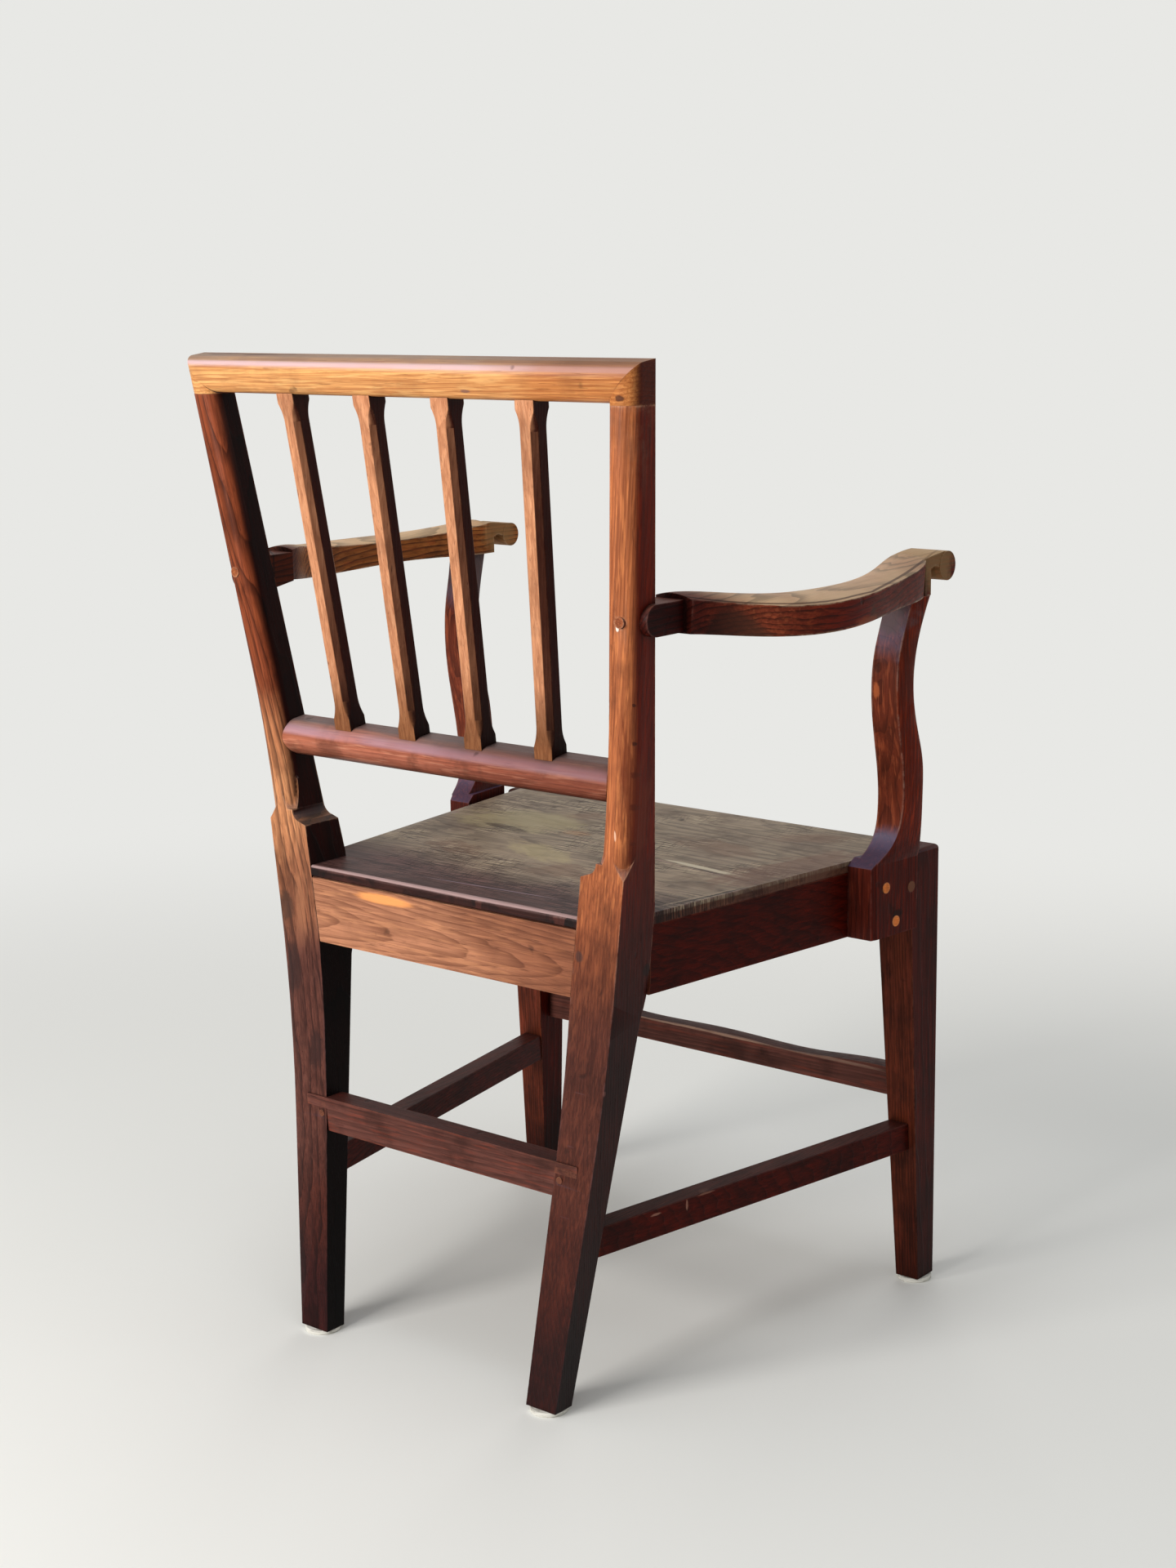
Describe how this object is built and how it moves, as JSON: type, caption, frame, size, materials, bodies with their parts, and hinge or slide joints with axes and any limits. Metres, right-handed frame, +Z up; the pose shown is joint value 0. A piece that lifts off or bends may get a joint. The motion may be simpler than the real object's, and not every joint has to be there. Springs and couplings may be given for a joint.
{
  "type": "wooden open-back elbow chair",
  "caption": "Country elbow chair in solid wood with an open barred back, plank seat, outswept arms with rolled ends, tapered legs and stretchers",
  "frame": {"origin": "on the floor under the middle of the chair", "axes": "X runs across the chair with the sitter's left at +X, Y runs from the front to the back, Z is up"},
  "size_m": [0.632, 0.4665, 0.893],
  "materials": {
    "frame_wood": "old waxed brown wood, worn on the arrises",
    "seat_wood": "grey-brown worn plank",
    "peg_wood": "end grain of the pegs",
    "screw_steel": "dull steel",
    "pad_plastic": "white glide pad"
  },
  "bodies": {
    "root": {"arm_left": "frame_wood", "arm_plug_left": "peg_wood", "arm_plug_right": "peg_wood", "arm_right": "frame_wood", "arm_screw_left": "screw_steel", "arm_screw_right": "screw_steel", "arm_support_left": "frame_wood", "arm_support_pegs_left": "peg_wood", "arm_support_pegs_right": "peg_wood", "arm_support_right": "frame_wood", "back_bar_1": "frame_wood", "back_bar_2": "frame_wood", "back_bar_3": "frame_wood", "back_bar_4": "frame_wood", "back_seat_rail": "frame_wood", "back_stretcher": "frame_wood", "back_stretcher_pegs": "peg_wood", "crest_rail": "frame_wood", "foot_pad_front_left": "pad_plastic", "foot_pad_front_right": "pad_plastic", "foot_pad_rear_left": "pad_plastic", "foot_pad_rear_right": "pad_plastic", "front_leg_left": "frame_wood", "front_leg_right": "frame_wood", "front_seat_rail": "frame_wood", "front_stretcher": "frame_wood", "lower_back_rail": "frame_wood", "post_left": "frame_wood", "post_right": "frame_wood", "seat_board_front": "seat_wood", "seat_board_rear": "seat_wood", "side_seat_rail_left": "frame_wood", "side_seat_rail_right": "frame_wood", "side_stretcher_left": "frame_wood", "side_stretcher_right": "frame_wood"}
  },
  "joints": []
}
